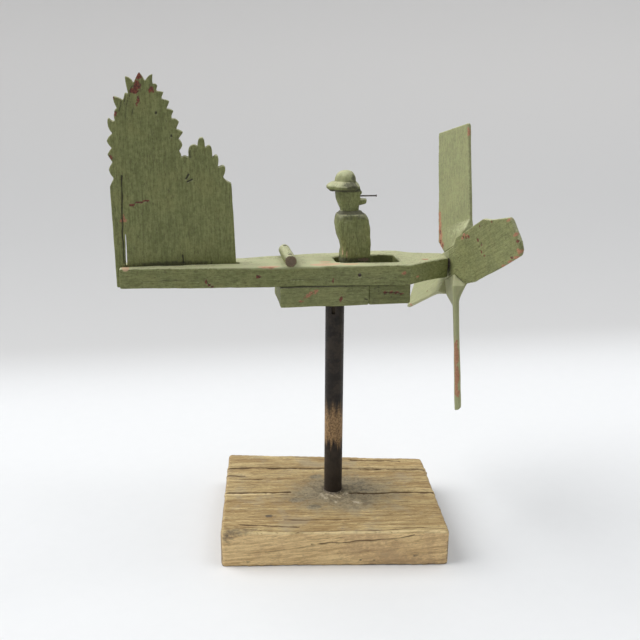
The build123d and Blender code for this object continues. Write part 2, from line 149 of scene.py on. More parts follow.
def bulge(mesh):
    """How far each point stands out from its neighbours: above 0 on edges and corners, below 0 in hollows."""
    co, n, ends = coords(mesh), normals(mesh), edge_ends(mesh)
    step = co[ends[:, 1]] - co[ends[:, 0]]
    step /= np.maximum(np.linalg.norm(step, axis=1), 1e-9)[:, None]
    out = np.zeros(len(co))
    np.add.at(out, ends[:, 0], -np.einsum("ij,ij->i", n[ends[:, 0]], step))
    np.add.at(out, ends[:, 1], np.einsum("ij,ij->i", n[ends[:, 1]], step))
    count = np.bincount(ends.ravel(), minlength=len(co))
    return spread(out / np.maximum(count, 1), ends, 2)


def put(mesh, name, values, kind="FLOAT", key="value"):
    layer = mesh.attributes.get(name) or mesh.attributes.new(name, kind, "POINT")
    layer.data.foreach_set(key, np.asarray(values, np.float32).ravel())


def new_object(name, mesh):
    mesh.name = name
    obj = bpy.data.objects.new(name, mesh)
    bpy.context.scene.collection.objects.link(obj)
    return obj


def remeshed(source, name, voxel, rounding=2):
    """A new object: the source mesh rebuilt as even quads of the given size, its edges eased."""
    work = new_object(name + "_work", source)
    remesh = work.modifiers.new("remesh", "REMESH")
    remesh.mode = "VOXEL"
    remesh.voxel_size = voxel
    graph = bpy.context.evaluated_depsgraph_get()
    mesh = bpy.data.meshes.new_from_object(work.evaluated_get(graph))
    bpy.data.objects.remove(work)
    set_coords(mesh, spread(coords(mesh), edge_ends(mesh), rounding))
    mesh.polygons.foreach_set("use_smooth", [True] * len(mesh.polygons))
    return new_object(name, mesh)


def from_cad(node, name, voxel, rounding=2):
    """A new object with a CAD node's shape, remeshed so that it can be worked."""
    source = frame["nodes"][node].data.copy()
    tool = bmesh.new()
    tool.from_mesh(source)
    bmesh.ops.remove_doubles(tool, verts=tool.verts, dist=0.00001)
    tool.to_mesh(source)
    tool.free()
    source.materials.clear()
    return remeshed(source, name, voxel, rounding)


def keep_in_box(mesh):
    """Keeps a worked mesh inside the whole CAD model's box."""
    set_coords(mesh, np.clip(coords(mesh), np.array(cad_low), np.array(cad_high)))


def refine(mesh, near, times=1):
    """Divides the faces round the points that near() picks, so that fine cuts have points to move."""
    for _ in range(times):
        chosen = near(coords(mesh))
        tool = bmesh.new()
        tool.from_mesh(mesh)
        tool.verts.ensure_lookup_table()
        edges = [e for e in tool.edges if chosen[e.verts[0].index] and chosen[e.verts[1].index]]
        bmesh.ops.subdivide_edges(tool, edges=edges, cuts=1, use_grid_fill=True)
        tool.to_mesh(mesh)
        tool.free()
    mesh.polygons.foreach_set("use_smooth", [True] * len(mesh.polygons))


def distance_to_path(points, path):
    """Shortest distance from each point to a run of straight lines."""
    best = np.full(len(points), 1e9)
    path = np.asarray(path, float)
    for a, b in zip(path[:-1], path[1:]):
        ab = b - a
        t = np.clip((points - a) @ ab / (ab @ ab), 0, 1)
        best = np.minimum(best, np.linalg.norm(points - a - t[:, None] * ab, axis=1))
    return best


class Grain:
    """A piece of wood's own axes: along the grain, and two across it."""

    def __init__(self, along, up, origin=(0, 0, 0)):
        self.along = np.array(Vector(along).normalized())
        across = Vector(up).cross(Vector(along)).normalized()
        self.across = np.array(across)
        self.up = np.array(Vector(along).cross(across).normalized())
        self.origin = np.array(origin, float)

    def __call__(self, points):
        return (points - self.origin) @ np.stack([self.along, self.across, self.up], axis=1)


def weather(obj, grain, seed, wobble=0.35 * MM, relief=0.12 * MM, chips=0.9 * MM, swell=0.15 * MM):
    """Gives a sawn and whittled board its unevenness: slow waves, raised grain and broken edges."""
    mesh = obj.data
    co, n = coords(mesh), normals(mesh)
    g = grain(co)
    side_grain = 1 - np.abs(n @ grain.along)
    waves = noise(co, 0.032, seed) * 0.6 + noise(co, 0.013, seed + 1) * 0.4
    streaks = noise(g, (0.05, 0.0030, 0.0030), seed + 2) + 0.7 * noise(g, (0.022, 0.0015, 0.0015), seed + 3)
    tears = smoothstep(0.45, 0.8, noise(g, (0.035, 0.0022, 0.0022), seed + 6))
    edge = smoothstep(0.08, 0.36, bulge(mesh))
    broken = smoothstep(0.05, 0.7, noise(co, 0.010, seed + 4) + 0.6 * noise(co, 0.0035, seed + 5))
    move = swell + wobble * waves + relief * side_grain * (streaks - 1.5 * tears) - chips * edge * broken
    set_coords(mesh, co + n * move[:, None])


DEEPEST_CUT = 3.0 * MM


def gouge(obj, paths, wander=0.5 * MM, lip=0.15, shade=1.0):
    """Cuts cracks and knife marks: a run of points in metres, then a half width and a depth in mm.

    A shade below 1 makes the dark of a crack reach further out than its cut.
    """
    mesh = obj.data
    co, n = coords(mesh), normals(mesh)
    crack = np.zeros(len(co))
    move = np.zeros(len(co))
    for number, (path, width, depth) in enumerate(paths):
        shift = np.stack([noise(co, 0.009, 31 + 3 * number + k) for k in range(3)], axis=1) * wander
        ragged = width * MM * (1 + 0.35 * noise(co, 0.008, 57 + number))
        away = distance_to_path(co + shift, path) / ragged
        cut = np.exp(-away ** 2)
        ridge = np.exp(-((away - 2.3) / 0.9) ** 2)
        crack = np.maximum(crack, cut ** shade * min(1.0, depth))
        move += depth * MM * (lip * ridge - cut)
    set_coords(mesh, co + n * np.maximum(move, -DEEPEST_CUT)[:, None])
    put(mesh, "crack", crack)


def on_near_side(obj, x, z):
    """The point of a piece's near surface at x and z, given in mm."""
    co = coords(obj.data)
    nearest = np.argsort(np.hypot(co[:, 0] - x * MM, co[:, 2] - z * MM))[:12]
    return (x * MM, co[nearest, 1].min(), z * MM)


def on_top(obj, x, y):
    """The point of a piece's upper surface at x and y, given in mm."""
    co = coords(obj.data)
    nearest = np.argsort(np.hypot(co[:, 0] - x * MM, co[:, 1] - y * MM))[:12]
    return (x * MM, y * MM, co[nearest, 2].max())


def mask(co, *spots):
    """From 1 in the middle of each spot to 0 outside it; a spot is a centre and its half sizes in mm."""
    out = np.zeros(len(co))
    for centre, *size in spots:
        reach = np.linalg.norm((co - np.asarray(centre)) / (np.asarray(size, float) * MM), axis=1)
        out = np.maximum(out, 1 - smoothstep(0.3, 1.3, reach))
    return out


def finish_wood(obj, grain, pale_and_lit=0.0, paint_edge=0.3 * MM, **marks):
    """Stores what the wood materials read: grain axes, worn edges, hollows for painted shade, a paleness that
    is partly painted light, and the listed marks.
    """
    mesh = obj.data
    co = coords(mesh)
    speckle = 0.45 * noise(co, 0.0024, 5) + 0.30 * noise(co, 0.0011, 6)
    lost = np.zeros(len(co))
    for name in ("chip", "salmon", "bare"):
        area = marks.get(name, lost)
        area = smoothstep(0.42, 0.60, area + speckle * smoothstep(0.0, 0.3, area))
        put(mesh, name, area)
        lost = np.maximum(lost, area) if name != "salmon" else lost
    for name in ("blush", "dirt"):
        put(mesh, name, marks.get(name, np.zeros(len(co))))
    set_coords(mesh, co - normals(mesh) * (paint_edge * lost)[:, None])
    keep_in_box(mesh)
    out = bulge(mesh)
    put(mesh, "edge", smoothstep(0.05, 0.36, out))
    # Points that sit below their neighbours, kept for painted shade in hollows.
    put(mesh, "hollow_shade", smoothstep(0.03, 0.25, -out))
    put(mesh, "grain", grain(co), "FLOAT_VECTOR", "vector")
    # The paleness is partly sun-fading and partly painted light.
    put(mesh, "pale_and_lit", np.zeros(len(co)) + pale_and_lit)
    if not mesh.attributes.get("crack"):
        put(mesh, "crack", np.zeros(len(co)))


# ---------------------------------------------------------------- materials
class Nodes:
    """Short names for building a material's node tree."""

    def __init__(self, name):
        self.material = bpy.data.materials.new(name)
        self.material.use_nodes = True
        self.tree = self.material.node_tree
        self.tree.nodes.clear()
        self.output = self.tree.nodes.new("ShaderNodeOutputMaterial")
        self.shader = self.tree.nodes.new("ShaderNodeBsdfPrincipled")
        self.link(self.shader.outputs[0], self.output.inputs[0])

    def link(self, a, b):
        self.tree.links.new(a, b)

    def feed(self, socket, value):
        if isinstance(value, bpy.types.NodeSocket):
            self.link(value, socket)
        else:
            socket.default_value = value

    def attribute(self, name, output="Fac"):
        node = self.tree.nodes.new("ShaderNodeAttribute")
        node.attribute_name = name
        return node.outputs[output]

    def object_place(self):
        return self.tree.nodes.new("ShaderNodeTexCoord").outputs["Object"]

    def stretch(self, place, scale, shift=(0, 0, 0)):
        node = self.tree.nodes.new("ShaderNodeMapping")
        node.inputs["Scale"].default_value = scale
        node.inputs["Location"].default_value = shift
        self.link(place, node.inputs["Vector"])
        return node.outputs[0]

    def noise(self, place, scale, detail=4.0, rough=0.55, distortion=0.0):
        node = self.tree.nodes.new("ShaderNodeTexNoise")
        node.inputs["Scale"].default_value = scale
        node.inputs["Detail"].default_value = detail
        node.inputs["Roughness"].default_value = rough
        node.inputs["Distortion"].default_value = distortion
        self.link(place, node.inputs["Vector"])
        return node.outputs["Fac"]

    def math(self, operation, a, b=0.0, c=0.0):
        node = self.tree.nodes.new("ShaderNodeMath")
        node.operation = operation
        for socket, value in zip(node.inputs, (a, b, c)):
            self.feed(socket, value)
        return node.outputs[0]

    def step(self, value, low, high, top=1.0):
        node = self.tree.nodes.new("ShaderNodeMapRange")
        node.interpolation_type = "SMOOTHSTEP"
        self.feed(node.inputs["Value"], value)
        node.inputs["From Min"].default_value = low
        node.inputs["From Max"].default_value = high
        node.inputs["To Max"].default_value = top
        return node.outputs[0]

    def mix(self, factor, a, b, blend="MIX"):
        node = self.tree.nodes.new("ShaderNodeMix")
        node.data_type = "RGBA"
        node.blend_type = blend
        self.feed(node.inputs[0], factor)
        self.feed(node.inputs[6], a if isinstance(a, bpy.types.NodeSocket) else (*a, 1))
        self.feed(node.inputs[7], b if isinstance(b, bpy.types.NodeSocket) else (*b, 1))
        return node.outputs[2]

    def component(self, vector, axis):
        split = self.tree.nodes.new("ShaderNodeSeparateXYZ")
        self.link(vector, split.inputs[0])
        return split.outputs[axis]

    def facing(self, axis):
        """The surface normal's part along one of the object's axes."""
        return self.component(self.tree.nodes.new("ShaderNodeTexCoord").outputs["Normal"], axis)

    def upward(self):
        return self.facing(2)

    def bump(self, height, distance, strength=1.0, under=None):
        node = self.tree.nodes.new("ShaderNodeBump")
        node.inputs["Distance"].default_value = distance
        node.inputs["Strength"].default_value = strength
        self.link(height, node.inputs["Height"])
        if under is not None:
            self.link(under, node.inputs["Normal"])
        return node.outputs[0]

    def done(self, colour, roughness, normal):
        self.feed(self.shader.inputs["Base Color"], colour)
        self.feed(self.shader.inputs["Roughness"], roughness)
        self.link(normal, self.shader.inputs["Normal"])
        return self.material


def painted_wood(name):
    """Old flat sage paint over red: lighter on upward faces and on faces given a paleness, partly sun-fading
    and partly painted light; painted shade in its hollows and marked creases; rubbed and chipped on its
    edges.
    """
    m = Nodes(name)
    grain = m.attribute("grain", "Vector")
    place = m.object_place()
    streak = m.noise(m.stretch(grain, (40, 560, 560)), 1.0, 6.0, 0.66)
    fine = m.noise(m.stretch(grain, (170, 900, 900)), 1.0, 4.0, 0.65)
    cloud = m.noise(place, 36.0, 5.0, 0.62)
    mottle = m.noise(place, 240.0, 5.0, 0.68)
    speck = m.noise(place, 640.0, 4.0, 0.62)
    tone = m.math("ADD", m.math("MULTIPLY", streak, 0.42), m.math("MULTIPLY", cloud, 0.18))
    tone = m.math("ADD", tone, m.math("MULTIPLY", mottle, 0.40))
    paint = m.mix(m.step(tone, 0.40, 0.60), PAINT_DARK, PAINT_LIGHT)
    yellow = m.math("ADD", m.math("MULTIPLY", cloud, 0.6), m.math("MULTIPLY", fine, 0.4))
    paint = m.mix(m.step(yellow, 0.46, 0.60, 0.35), paint, PAINT_YELLOW)
    # Painted light, partly real sun-fading: faces that point up, and faces given a paleness, turn to the
    # lighter weathered colours, standing partly for light from above.
    sky = m.math("ADD", m.upward(), m.math("MULTIPLY", m.math("SUBTRACT", mottle, 0.5), 0.8))
    faded_and_lit = m.math("MAXIMUM", m.step(sky, 0.12, 0.85, 0.85), m.attribute("pale_and_lit"))
    paint = m.mix(faded_and_lit, paint, m.mix(m.step(mottle, 0.35, 0.65), PAINT_FADED_AND_LIT_WARM, PAINT_FADED_AND_LIT))
    clean = m.step(m.attribute("pale_and_lit"), 0.5, 0.0)
    paint = m.mix(m.math("MULTIPLY", m.step(fine, 0.53, 0.66, 0.62), clean), paint, GRIME)
    paint = m.mix(m.math("MULTIPLY", m.step(speck, 0.58, 0.68, 0.55), clean), paint, GRIME)
    # Painted shade: the marked shade areas, such as creases, feet and tops under other parts, and the hollows
    # darken toward the darkest colour; random mottling adds soiling.
    dirt = m.math("ADD", m.attribute("dirt"), m.math("MULTIPLY", m.math("SUBTRACT", mottle, 0.5), 1.6))
    paint = m.mix(m.step(dirt, 0.30, 0.90, 0.8), paint, SHADE_AND_GRIME_DARK)
    paint = m.mix(m.math("MULTIPLY", m.attribute("hollow_shade"), 0.85), paint, SHADE_AND_GRIME_DARK)
    rag = m.math("ADD", m.math("MULTIPLY", mottle, 0.6), m.math("MULTIPLY", speck, 0.6))
    edge = m.attribute("edge")
    worn = m.step(m.math("ADD", m.math("MULTIPLY", edge, 0.5), rag), 0.86, 1.02)
    thin = m.mix(mottle, (0.30, 0.29, 0.15), (0.52, 0.49, 0.31))
    colour = m.mix(m.math("MULTIPLY", worn, 0.5), paint, thin)
    patch = m.math("ADD", m.math("MULTIPLY", cloud, 0.7), m.math("MULTIPLY", speck, 0.4))
    rubbed = m.step(m.math("ADD", m.math("MULTIPLY", edge, 0.32), patch), 0.90, 0.96)
    under = m.mix(m.step(mottle, 0.40, 0.60), (0.17, 0.05, 0.03), (0.34, 0.14, 0.085))
    colour = m.mix(m.math("MULTIPLY", rubbed, 0.65), colour, under)
    blush = m.math("ADD", m.attribute("blush"), m.math("MULTIPLY", m.math("SUBTRACT", rag, 0.6), 1.3))
    colour = m.mix(m.step(blush, 0.45, 0.85, 0.75), colour, (0.68, 0.42, 0.27))
    colour = m.mix(m.attribute("bare"), colour, m.mix(streak, (0.07, 0.046, 0.026), (0.24, 0.17, 0.105)))
    salmon = m.mix(m.step(speck, 0.4, 0.6), (0.34, 0.12, 0.065), (0.52, 0.22, 0.13))
    colour = m.mix(m.math("MULTIPLY", m.attribute("salmon"), 0.8), colour, salmon)
    red = m.mix(m.step(speck, 0.4, 0.6), (0.075, 0.022, 0.013), (0.25, 0.062, 0.032))
    colour = m.mix(m.math("MULTIPLY", m.attribute("chip"), 0.92), colour, red)
    colour = m.mix(m.step(m.attribute("crack"), 0.3, 0.95, 0.9), colour, (0.030, 0.026, 0.014))
    height = m.math("ADD", m.math("MULTIPLY", streak, 0.45), m.math("MULTIPLY", fine, 0.35))
    height = m.math("ADD", height, m.math("MULTIPLY", mottle, 0.45))
    height = m.math("SUBTRACT", height, m.math("MULTIPLY", m.math("MAXIMUM", worn, rubbed), 0.3))
    rough = m.math("ADD", m.step(speck, 0.2, 0.8, 0.2), 0.55)
    return m.done(colour, rough, m.bump(height, 0.8 * MM, 1.0))


def weathered_plank(name):
    """Bare old pine: bands along the grain, brown cracks, grey stain round the pipe's foot."""
    m = Nodes(name)
    grain = m.attribute("grain", "Vector")
    place = m.object_place()
    bands = m.noise(m.stretch(grain, (6, 80, 55)), 1.0, 3.0, 0.5, 0.5)
    lines = m.noise(m.stretch(grain, (20, 300, 420)), 1.0, 7.0, 0.80)
    dashes = m.noise(m.stretch(grain, (70, 620, 800)), 1.0, 4.0, 0.65)
    fine = m.noise(m.stretch(grain, (260, 1500, 1500)), 1.0, 3.0, 0.6)
    cloud = m.noise(place, 24.0, 6.0, 0.65)
    mottle = m.noise(place, 180.0, 5.0, 0.68)
    colour = m.mix(m.step(bands, 0.40, 0.60), (0.43, 0.295, 0.125), (0.54, 0.405, 0.19))
    colour = m.mix(m.step(lines, 0.50, 0.61, 0.82), colour, (0.235, 0.135, 0.048))
    colour = m.mix(m.step(lines, 0.47, 0.37, 0.8), colour, (0.80, 0.63, 0.33))
    colour = m.mix(m.step(dashes, 0.56, 0.66, 0.80), colour, (0.145, 0.08, 0.03))
    colour = m.mix(m.step(fine, 0.53, 0.66, 0.55), colour, (0.17, 0.11, 0.052))
    colour = m.mix(m.step(cloud, 0.50, 0.66, 0.5), colour, (0.40, 0.33, 0.22))
    # Sides lighter than the top: partly cleaner side wood and partly painted light from the bright floor
    # below.
    side = m.step(m.upward(), 0.75, 0.25)
    front = m.mix(m.step(lines, 0.42, 0.66), (0.97, 0.72, 0.365), (0.57, 0.365, 0.160))
    front = m.mix(m.step(dashes, 0.56, 0.70, 0.7), front, (0.30, 0.17, 0.085))
    front = m.mix(m.step(fine, 0.55, 0.68, 0.4), front, (0.24, 0.15, 0.08))
    pink = m.math("ADD", m.math("MULTIPLY", cloud, 0.7), m.math("MULTIPLY", mottle, 0.3))
    front = m.mix(m.step(pink, 0.47, 0.60, 0.55), front, (0.50, 0.305, 0.165))
    colour = m.mix(m.math("MULTIPLY", side, 0.9), colour, front)
    ends = m.step(m.math("ABSOLUTE", m.facing(0)), 0.60, 0.92, 0.85)
    colour = m.mix(ends, colour, m.mix(mottle, (0.15, 0.10, 0.055), (0.34, 0.245, 0.145)))
    ragged = m.math("ADD", m.math("MULTIPLY", cloud, 0.5), m.math("MULTIPLY", mottle, 0.5))
    rag = m.math("MULTIPLY", m.math("SUBTRACT", ragged, 0.5), 2.2)
    grey = m.math("ADD", m.attribute("stain"), rag)
    stain = m.mix(m.step(mottle, 0.42, 0.58), (0.15, 0.128, 0.088), (0.37, 0.305, 0.185))
    colour = m.mix(m.step(grey, 0.15, 1.05, 0.9), colour, stain)
    speckle = m.math("ADD", m.math("MULTIPLY", mottle, 0.5), m.math("MULTIPLY", fine, 0.5))
    pits = m.math("ADD", m.math("MULTIPLY", m.attribute("stain"), 0.12), speckle)
    colour = m.mix(m.step(pits, 0.62, 0.72, 0.6), colour, (0.11, 0.095, 0.075))
    # Sooty marks mixed with painted shade, such as the contact shadow along the bottom edge.
    dark = m.math("ADD", m.math("MULTIPLY", m.attribute("soot_and_shade"), 0.8), rag)
    colour = m.mix(m.step(dark, 0.45, 1.05, 0.9), colour, (0.11, 0.085, 0.06))
    dust = m.math("ADD", m.attribute("crumbs"), m.math("MULTIPLY", m.math("SUBTRACT", mottle, 0.5), 2.6))
    colour = m.mix(m.step(dust, 0.55, 0.95, 0.8), colour, (0.60, 0.51, 0.37))
    # Painted shade in hollows.
    colour = m.mix(m.math("MULTIPLY", m.attribute("hollow_shade"), 0.75), colour, (0.12, 0.07, 0.03))
    colour = m.mix(m.step(m.attribute("crack"), 0.25, 0.85, 0.94), colour, (0.085, 0.042, 0.016))
    ridge = m.math("MULTIPLY", m.attribute("edge"), m.step(mottle, 0.30, 0.55))
    colour = m.mix(m.math("MULTIPLY", ridge, 0.7), colour, (0.80, 0.62, 0.34))
    crest = m.math("MULTIPLY", m.attribute("crest"), m.step(mottle, 0.30, 0.50))
    colour = m.mix(m.math("MULTIPLY", crest, 0.75), colour, (0.88, 0.70, 0.38))
    height = m.math("ADD", m.math("MULTIPLY", lines, -0.7), m.math("MULTIPLY", dashes, -0.5))
    height = m.math("ADD", height, m.math("MULTIPLY", mottle, 0.3))
    return m.done(colour, m.math("ADD", m.step(cloud, 0.3, 0.7, 0.15), 0.70), m.bump(height, 0.7 * MM, 0.9))


def iron(name, bare_low, bare_high):
    """Near-black pipe with a band where the black has rubbed off to brown rust."""
    m = Nodes(name)
    place = m.object_place()
    cloud = m.noise(place, 70.0, 5.0, 0.65)
    speck = m.noise(place, 520.0, 4.0, 0.65)
    runs = m.noise(m.stretch(place, (260, 260, 22)), 1.0, 4.0, 0.6)
    ragged = m.math("MULTIPLY", m.math("SUBTRACT", runs, 0.5), 0.05)
    height = m.math("ADD", m.component(place, 2), ragged)
    rise = m.step(height, bare_low - 0.006, bare_low + 0.008)
    fall = m.step(height, bare_high - 0.012, bare_high + 0.016)
    band = m.math("MULTIPLY", rise, m.math("SUBTRACT", 1.0, fall))
    black = m.mix(m.step(cloud, 0.4, 0.65), (0.015, 0.011, 0.008), (0.042, 0.030, 0.021))
    black = m.mix(m.step(speck, 0.62, 0.8, 0.6), black, (0.10, 0.055, 0.03))
    black = m.mix(m.step(height, bare_low, bare_low - 0.03, 0.5), black, (0.050, 0.038, 0.029))
    rust = m.mix(m.step(speck, 0.35, 0.65), (0.20, 0.115, 0.050), (0.42, 0.265, 0.125))
    rust = m.mix(m.step(runs, 0.5, 0.7, 0.5), rust, (0.09, 0.06, 0.04))
    colour = m.mix(m.math("MULTIPLY", band, m.step(speck, 0.2, 0.5)), black, rust)
    roughness = m.math("ADD", m.step(speck, 0.3, 0.7, 0.25), 0.38)
    lumps = m.math("ADD", m.math("MULTIPLY", speck, 0.6), m.math("MULTIPLY", cloud, 0.4))
    m.shader.inputs["Metallic"].default_value = 0.0
    m.shader.inputs["Specular IOR Level"].default_value = 0.28
    return m.done(colour, roughness, m.bump(lumps, 0.25 * MM, 0.7))


def old_steel(name):
    """Dull nails and washers, darkened and speckled with rust."""
    m = Nodes(name)
    place = m.object_place()
    speck = m.noise(place, 900.0, 4.0, 0.6)
    cloud = m.noise(place, 150.0, 4.0, 0.6)
    steel = m.mix(m.step(cloud, 0.35, 0.65), (0.06, 0.055, 0.05), (0.16, 0.145, 0.13))
    colour = m.mix(m.step(speck, 0.48, 0.62, 0.8), steel, (0.10, 0.05, 0.025))
    m.shader.inputs["Metallic"].default_value = 0.6
    return m.done(colour, m.math("ADD", m.step(speck, 0.3, 0.7, 0.3), 0.4), m.bump(speck, 0.1 * MM, 0.6))


def plain_dowel(name):
    """Unpainted wood of the plug inside the pipe."""
    m = Nodes(name)
    place = m.object_place()
    lines = m.noise(m.stretch(place, (700, 700, 30)), 1.0, 4.0, 0.6)
    colour = m.mix(m.step(lines, 0.35, 0.65), (0.035, 0.026, 0.017), (0.085, 0.062, 0.038))
    return m.done(colour, 0.8, m.bump(lines, 0.2 * MM, 0.7))


def dry_filler(name):
    """Crumbled filler gone the grey-brown of the plank, with dirt in its pits."""
    m = Nodes(name)
    place = m.object_place()
    lumps = m.noise(place, 420.0, 5.0, 0.7)
    dirt = m.noise(place, 150.0, 4.0, 0.6)
    colour = m.mix(m.step(lumps, 0.38, 0.62), (0.16, 0.125, 0.085), (0.46, 0.38, 0.26))
    colour = m.mix(m.step(dirt, 0.42, 0.60, 0.8), colour, (0.12, 0.10, 0.075))
    return m.done(colour, 0.9, m.bump(lumps, 0.6 * MM, 1.0))


PAINT_LIGHT = (0.250, 0.272, 0.100)
PAINT_DARK = (0.142, 0.154, 0.048)
PAINT_YELLOW = (0.225, 0.215, 0.070)
# The two lighter weathered colours serve both sun-fading and painted light on upward and paler-marked faces.
PAINT_FADED_AND_LIT = (0.55, 0.58, 0.335)
PAINT_FADED_AND_LIT_WARM = (0.60, 0.58, 0.36)
GRIME = (0.068, 0.062, 0.026)
# Darkest colour: painted shade in creases and hollows, and soiling.
SHADE_AND_GRIME_DARK = (0.030, 0.027, 0.012)
sage = painted_wood("sage_paint")
pine = weathered_plank("old_pine")
BARE_BAND = (BASE_TOP + 63 * MM, BASE_TOP + 104 * MM)
pipe_iron = iron("iron_pipe", *BARE_BAND)
steel = old_steel("old_steel")
dowel_wood = plain_dowel("bare_dowel")
filler = dry_filler("putty")
CAD_MATERIALS = {
    "stand_pipe": pipe_iron, "pipe_plug": dowel_wood, "pivot_pin": steel, "pivot_washer": steel,
    "block_nails": steel, "fin_nails": steel, "dowel_nails": steel, "mouth_nail": steel,
    "pilot_cross_nail": steel, "propeller_axle": steel, "nose_washer": steel, "front_washer": steel,
    "hub_brads": steel,
}


def dress(obj, material, body, slot, *nodes):
    """Gives a piece its material and its body, and hides the CAD nodes that it stands for; the slot is not
    used.
    """
    obj.data.materials.clear()
    obj.data.materials.append(material)
    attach(obj, body)
    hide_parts(*nodes)


# ---------------------------------------------------------------- the stand
def base():
    """The base plank: worn corners, long cracks along the grain, a knot and the foot's grey stain."""
    yaw = math.radians(BASE_YAW)
    grain = Grain((math.cos(yaw), math.sin(yaw), 0), (0, 0, 1), BASE_MIDDLE)
    obj = from_cad("base_block", "base_plank", 1.8 * MM, 3)
    front = -94.3

    def at(along, across, height=BASE_TOP / MM):
        p = grain.origin + (along * grain.along + across * grain.across) * MM
        return (p[0], p[1], height * MM)

    cracks = [
        ([at(-129, 60), at(-86, 61), at(-36, 58.5), at(-4, 56.5)], 1.5, 2.2),
        ([at(-4, 56.5), at(19, 57), at(72, 54.5), at(124, 51.3)], 2.1, 3.0),
        ([at(-127, -3), at(-96, -2.3), at(-72, -4), at(-48, -3.5)], 1.3, 2.0),
        ([at(23.5, -7.7), at(53, -9.7), at(78, -6.6), at(125, -7.7)], 1.5, 2.2),
        ([at(-119.5, -79.5), at(-78.5, -88.8), at(-37, -91), at(12, -90)], 0.8, 0.62),
        ([at(12, -90), at(50.5, -91), at(95, -86), at(124.5, -89)], 0.8, 0.66),
        ([at(-110, 29.5), at(-83, 29)], 1.0, 1.0),
        ([at(-129, 40.5), at(-104, 38.6)], 1.0, 1.0),
        ([at(30, 81), at(94, 76.6)], 1.0, 1.0),
        ([at(-53.5, -66.4), at(19, -68)], 0.9, 0.8),
        ([at(-103, -76), at(-37, -81.6)], 0.9, 0.9),
        ([at(-75, front, 18), at(-48, front, 21), at(-22, front, 25)], 0.6, 0.55),
        ([at(-24, front, 27.5), at(12, front, 29.7), at(40, front, 31.3), at(67, front, 33.5),
          at(88, front, 38)], 0.8, 0.72),
        ([at(-60, front, 30), at(-10, front, 34), at(34, front, 36.5)], 0.5, 0.45),
        ([at(20, front, 16), at(70, front, 20), at(118, front, 25)], 0.5, 0.45),
    ]

    def near(co):
        return np.min([distance_to_path(co, path) for path, _, _ in cracks], axis=0) < 2.6 * MM

    refine(obj.data, near, 2)
    weather(obj, grain, 11, wobble=0.6 * MM, relief=0.26 * MM, chips=1.6 * MM)
    gouge(obj, cracks, 0.9 * MM, 0.35, shade=0.45)
    finish_wood(obj, grain)
    mesh = obj.data
    co = coords(mesh)
    g = grain(co)
    put(mesh, "stain", np.maximum.reduce([
        1.0 * mask(co, (at(14, -2), 84, 58, 20)),
        0.28 * mask(co, (at(0, 88), 190, 34, 30)) + 0.16 * mask(co, (at(80, front, 12), 90, 8, 20)),
        1.2 * mask(
            co, (at(-16, 35), 12, 8, 9), (at(35, 16), 16, 9, 9), (at(-39, -22), 14, 8, 9),
            (at(-20, -38.5), 13, 7, 9),
        ),
    ]))
    # Sooty marks and dark spots on the front and top, darkened strips up the two near corners, the knot's
    # dark hole, and painted shade along the bottom edge as the contact shadow.
    put(mesh, "soot_and_shade", mask(
        co, (at(-100, -88, 40), 34, 9, 9), (at(-118, front, 34), 14, 6, 12), (at(-95, front, 5.8), 7, 3, 3),
        (at(30, front, 7), 3, 3, 2), (at(44.5, front, 6.8), 3, 3, 2), (at(91, front, 12), 6, 3, 3),
        (at(-123.5, -93, 15), 4, 4, 26), (at(126.5, -95, 18), 3.5, 4, 26),
    ) + 1.6 * mask(co, (at(-71.7, -57.3), 5.5, 4.5, 4)) + 1.2 * smoothstep(2.6 * MM, 0.4 * MM, co[:, 2]))
    front_crest = [
        at(-104, -92.5, 40.6), at(-30, -93.6, 40.6), at(50, -94, 40.6), at(88, -92, 40.8), at(124, -94, 40.6),
    ]
    back_crest = [at(-4, 59.5), at(72, 57.5), at(121, 54.5)]
    mid_crest = [at(-125, -6), at(-72, -7), at(-48, -6.5)]
    away = np.min([distance_to_path(co, path) for path in (front_crest, back_crest, mid_crest)], axis=0)
    behind = smoothstep(0.045, 0.050, g[:, 1])
    crest_width = 1.2 * MM * noise(g, (0.02, 0.004, 0.004), 37)
    put(mesh, "crest", (1 - 0.65 * behind) * smoothstep(2.2 * MM, 0.6 * MM, away + crest_width))
    put(mesh, "crumbs", 0.62 * mask(
        co, (at(4, -12), 24, 13, 9), (at(-7.5, -7), 9, 6, 5), (at(17.6, -7), 9, 6, 5),
        (at(3.4, -27.5), 9, 4, 4), (at(27.8, -30.4), 12, 5, 4),
    ))
    # the front's grain runs slightly uphill, and the top's bends round a knot
    g[:, 2] -= 0.11 * g[:, 0] * smoothstep(-0.084, -0.094, g[:, 1])
    knot = np.exp(-(np.hypot((g[:, 0] + 0.0717) / 2.2, g[:, 1] + 0.0573) / 0.008) ** 2)
    g[:, 1] -= 0.75 * knot * (g[:, 1] + 0.0573)
    put(mesh, "grain", g, "FLOAT_VECTOR", "vector")
    dress(obj, pine, "stand", "old_pine", "base_block")


def foot_ring():
    """The low ring of crumbled filler at the pipe's foot, broken away in places down to the plank."""
    obj = from_cad("foot_filler", "foot_ring", 0.6 * MM, 1)
    mesh = obj.data
    co, n = coords(mesh), normals(mesh)
    reach = np.hypot(co[:, 0], co[:, 1])
    outside = smoothstep(0.0108, 0.0122, reach)
    lumps = noise(co, 0.005, 41) * 0.6 + noise(co, 0.0022, 42) * 0.5
    gone = smoothstep(-0.05, 0.55, noise(co, 0.011, 43) + 0.5 * noise(co, 0.004, 44) + 90 * (reach - 0.0135))
    co = co + n * ((lumps - 0.2) * 0.9 * MM * outside)[:, None]
    co[:, 2] -= gone * outside * np.clip(co[:, 2] - BASE_TOP + 0.7 * MM, 0, 1)
    set_coords(mesh, co)
    keep_in_box(mesh)
    dress(obj, filler, "stand", "putty", "foot_filler")


# ---------------------------------------------------------------- the whirligig's boards
ALONG_X = Grain((1, 0, 0), (0, 0, 1))
ALONG_Z = Grain((0, 0, 1), (0, -1, 0))


